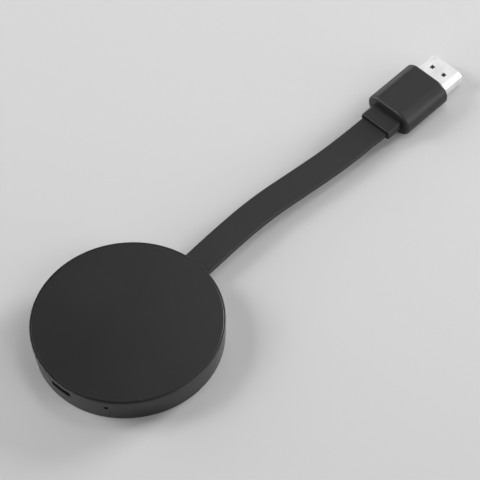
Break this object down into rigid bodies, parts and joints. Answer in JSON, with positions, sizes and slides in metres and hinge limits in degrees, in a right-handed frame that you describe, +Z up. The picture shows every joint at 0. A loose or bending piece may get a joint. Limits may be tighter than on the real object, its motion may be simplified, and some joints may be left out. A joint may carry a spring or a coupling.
{
  "type": "wireless display dongle",
  "caption": "Round flat puck with a micro-USB socket and a reset pinhole in its wall, joined by a short flat cable to an HDMI plug.",
  "frame": {"origin": "centre of the puck's flat base, on the surface it lies on", "axes": "+Z up, the puck's axis; +X out of the wall where the flat cable leaves; the micro-USB socket looks along -X"},
  "size_m": [0.1835, 0.064, 0.0103],
  "materials": {
    "housing_plastic": "matte, fine spark texture",
    "cover_plastic": "matte, fine spark texture",
    "cable_rubber": "matte",
    "grip_plastic": "matte",
    "connector_metal": "tinned, satin bright",
    "black_nylon": "matte",
    "circuit_board": "solder mask, satin",
    "gold_contact": "bright",
    "chip_epoxy": "matte",
    "shield_metal": "satin",
    "ferrite": "matte",
    "capacitor_ceramic": "matte",
    "resistor_ceramic": "satin",
    "led_lens": "gloss",
    "switch_metal": "satin",
    "silicone_pad": "matte",
    "aluminium_plate": "satin",
    "screw_steel": "satin",
    "wire_insulation": "satin",
    "solder": "bright",
    "light_guide": "gloss",
    "inner_mould": "matte",
    "switch_button": "matte"
  },
  "bodies": {
    "root": {"lower_housing": "housing_plastic", "top_cover": "cover_plastic", "usb_shell": "connector_metal", "usb_tongue": "black_nylon", "cable_grommet": "cable_rubber", "flat_cable": "cable_rubber", "main_board": "circuit_board", "usb_contacts": "gold_contact", "soc_chip": "chip_epoxy", "memory_chip": "chip_epoxy", "flash_chip": "chip_epoxy", "wifi_module": "shield_metal", "wifi_antenna": "shield_metal", "crystals": "shield_metal", "power_inductors": "ferrite", "chip_capacitors": "capacitor_ceramic", "chip_resistors": "resistor_ceramic", "status_led": "led_lens", "reset_switch_body": "switch_metal", "thermal_pad": "silicone_pad", "heat_spreader": "aluminium_plate", "board_screws": "screw_steel", "cable_cores": "wire_insulation", "solder_joints": "solder", "led_light_guide": "light_guide"},
    "plug": {"plug_collar": "grip_plastic", "plug_housing": "grip_plastic", "plug_shell": "connector_metal", "plug_insulator": "black_nylon", "plug_contacts": "gold_contact", "plug_inner_mould": "inner_mould", "plug_cores": "wire_insulation"},
    "reset_button": {"reset_plunger": "switch_button"}
  },
  "joints": [
    {"name": "cable_bend", "type": "hinge", "parent": "root", "child": "plug", "pos_m": [0.07435, -0.00255, 0.00517], "axis": [-0.0923, -0.9957, 0], "range_deg": [0, 60], "stiffness_Nm_per_rad": 0.02, "deforming": ["flat_cable"]},
    {"name": "reset_press", "type": "slide", "parent": "root", "child": "reset_button", "axis": [0.866, 0.5, 0], "range_m": [0, 0.00025], "stiffness_N_per_m": 3000}
  ]
}
